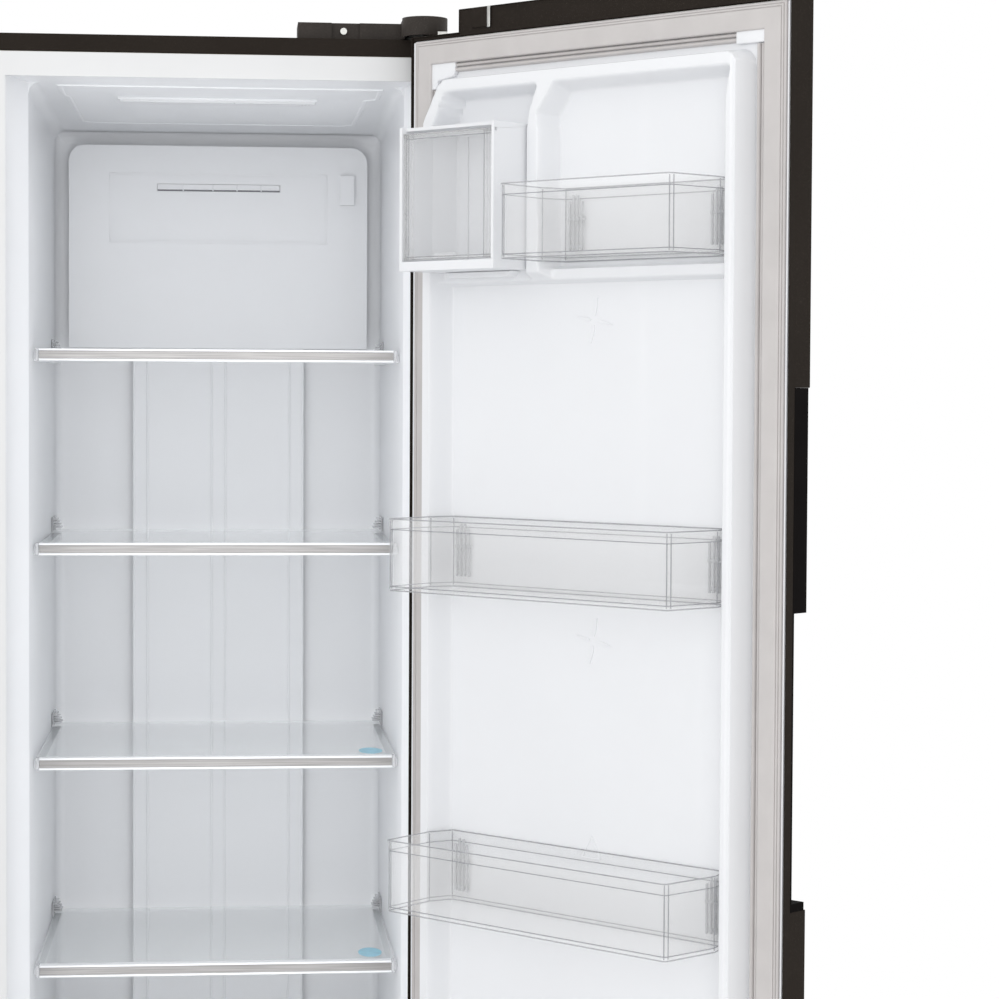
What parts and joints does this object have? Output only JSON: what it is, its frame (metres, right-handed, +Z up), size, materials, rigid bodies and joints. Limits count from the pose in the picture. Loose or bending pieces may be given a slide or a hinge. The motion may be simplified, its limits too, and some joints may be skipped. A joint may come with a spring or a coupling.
{
  "type": "side by side refrigerator",
  "caption": "Free-standing side by side refrigerator with both doors open, glass shelves, crisper drawers, door bins, flip-up dairy box and recessed edge grips.",
  "frame": {"origin": "on the floor, on the cabinet's centre line, in the plane of the cabinet's front face", "axes": "+X to the right seen from the front, +Y from the front towards the back, +Z up"},
  "size_m": [1.4818, 1.0592, 1.776],
  "materials": {
    "case_skin": "textured dark bronze-grey enamel",
    "frame_white": "smooth white enamel",
    "zinc_sheet": "galvanised sheet",
    "foam": "rigid polyurethane foam",
    "liner_white": "vacuum-formed white liner",
    "gasket_grey": "soft extruded seal",
    "grip_black": "moulded satin black",
    "cover_plastic": "grained dark plastic",
    "clear_bin": "clear moulded plastic",
    "shelf_glass": "toughened glass",
    "trim_metal": "brushed anodised strip in white carrier",
    "lamp_lens": "frosted lens",
    "black_enamel": "gloss black enamel",
    "coil_metal": "bare fins and tube",
    "dark_plastic": "moulded plastic",
    "zinc_plate": "zinc plated",
    "roller_plastic": "hard nylon",
    "panel_glass": "black touch glass"
  },
  "bodies": {
    "cabinet": {"outer_case": "case_skin", "front_frame": "frame_white", "rear_panel": "zinc_sheet", "insulation_foam": "foam", "fridge_liner": "liner_white", "freezer_liner": "liner_white", "base_pan": "zinc_sheet", "kick_grille": "cover_plastic", "compressor": "black_enamel", "drip_tray": "dark_plastic", "condenser": "coil_metal", "condenser_fan_shroud": "dark_plastic", "machine_cover": "zinc_sheet", "mains_cord_gland": "dark_plastic", "evaporator": "coil_metal", "freezer_duct_cover": "liner_white", "fridge_duct_cover": "liner_white", "fridge_lamp_cover": "lamp_lens", "shelf_trims": "trim_metal", "freezer_shelves": "shelf_glass", "hinge_screws": "zinc_plate", "fridge_shelf_1": "shelf_glass", "fridge_shelf_2": "shelf_glass", "fridge_shelf_3": "shelf_glass", "fridge_shelf_4": "shelf_glass", "fridge_shelf_5": "shelf_glass", "top_hinge_right": "zinc_plate", "bottom_hinge_right": "zinc_plate", "hinge_cover_right": "cover_plastic", "top_hinge_left": "zinc_plate", "bottom_hinge_left": "zinc_plate", "hinge_cover_left": "cover_plastic"},
    "fridge_door": {"fridge_door_skin": "case_skin", "fridge_door_foam": "foam", "fridge_door_grip": "grip_black", "fridge_door_liner": "liner_white", "fridge_door_gasket": "gasket_grey", "door_bin_1": "clear_bin", "door_bin_2": "clear_bin", "door_bin_3": "clear_bin", "door_bins_lower": "clear_bin", "dairy_box": "liner_white"},
    "dairy_cover": {"dairy_cover": "clear_bin"},
    "freezer_door": {"freezer_door_skin": "case_skin", "freezer_door_foam": "foam", "freezer_door_grip": "grip_black", "freezer_door_liner": "liner_white", "freezer_door_gasket": "gasket_grey", "freezer_door_bins": "clear_bin", "control_panel": "panel_glass"},
    "crisper_upper": {"crisper_drawer_upper": "clear_bin"},
    "crisper_lower": {"crisper_drawer_lower": "clear_bin"},
    "freezer_upper": {"freezer_drawer_upper": "clear_bin"},
    "freezer_lower": {"freezer_drawer_lower": "clear_bin"},
    "foot_right": {"levelling_foot_right": "zinc_plate"},
    "foot_left": {"levelling_foot_left": "zinc_plate"},
    "roller_right": {"rear_roller_right": "roller_plastic"},
    "roller_left": {"rear_roller_left": "roller_plastic"},
    "condenser_fan": {"condenser_fan": "dark_plastic"},
    "evaporator_fan": {"evaporator_fan": "dark_plastic"}
  },
  "joints": [
    {"name": "fridge_door_hinge", "type": "hinge", "parent": "cabinet", "child": "fridge_door", "pos_m": [0.4423, -0.0312, 0.9], "axis": [0, 0, 1], "range_deg": [-131.8, 0]},
    {"name": "freezer_door_hinge", "type": "hinge", "parent": "cabinet", "child": "freezer_door", "pos_m": [-0.4423, -0.0312, 0.9], "axis": [0, 0, -1], "range_deg": [-131.8, 0]},
    {"name": "dairy_cover_hinge", "type": "hinge", "parent": "fridge_door", "child": "dairy_cover", "pos_m": [0.44263, -0.17215, 1.6385], "axis": [-0.6665, 0.7455, 0], "range_deg": [0, 80]},
    {"name": "crisper_upper_slide", "type": "slide", "parent": "cabinet", "child": "crisper_upper", "axis": [0, -1, 0], "range_m": [0, 0.28]},
    {"name": "crisper_lower_slide", "type": "slide", "parent": "cabinet", "child": "crisper_lower", "axis": [0, -1, 0], "range_m": [0, 0.2]},
    {"name": "freezer_upper_slide", "type": "slide", "parent": "cabinet", "child": "freezer_upper", "axis": [0, -1, 0], "range_m": [0, 0.26]},
    {"name": "freezer_lower_slide", "type": "slide", "parent": "cabinet", "child": "freezer_lower", "axis": [0, -1, 0], "range_m": [0, 0.2]},
    {"name": "foot_right_turn", "type": "hinge", "parent": "cabinet", "child": "foot_right", "pos_m": [0.38, 0.055, 0.03], "axis": [0, 0, 1], "continuous": true},
    {"name": "foot_left_turn", "type": "hinge", "parent": "cabinet", "child": "foot_left", "pos_m": [-0.38, 0.055, 0.03], "axis": [0, 0, 1], "continuous": true},
    {"name": "roller_right_turn", "type": "hinge", "parent": "cabinet", "child": "roller_right", "pos_m": [0.4, 0.59, 0.02], "axis": [1, 0, 0], "continuous": true},
    {"name": "roller_left_turn", "type": "hinge", "parent": "cabinet", "child": "roller_left", "pos_m": [-0.4, 0.59, 0.02], "axis": [1, 0, 0], "continuous": true},
    {"name": "condenser_fan_turn", "type": "hinge", "parent": "cabinet", "child": "condenser_fan", "pos_m": [-0.037, 0.525, 0.155], "axis": [1, 0, 0], "continuous": true},
    {"name": "evaporator_fan_turn", "type": "hinge", "parent": "cabinet", "child": "evaporator_fan", "pos_m": [-0.2575, 0.503, 1.24], "axis": [0, 1, 0], "continuous": true}
  ]
}
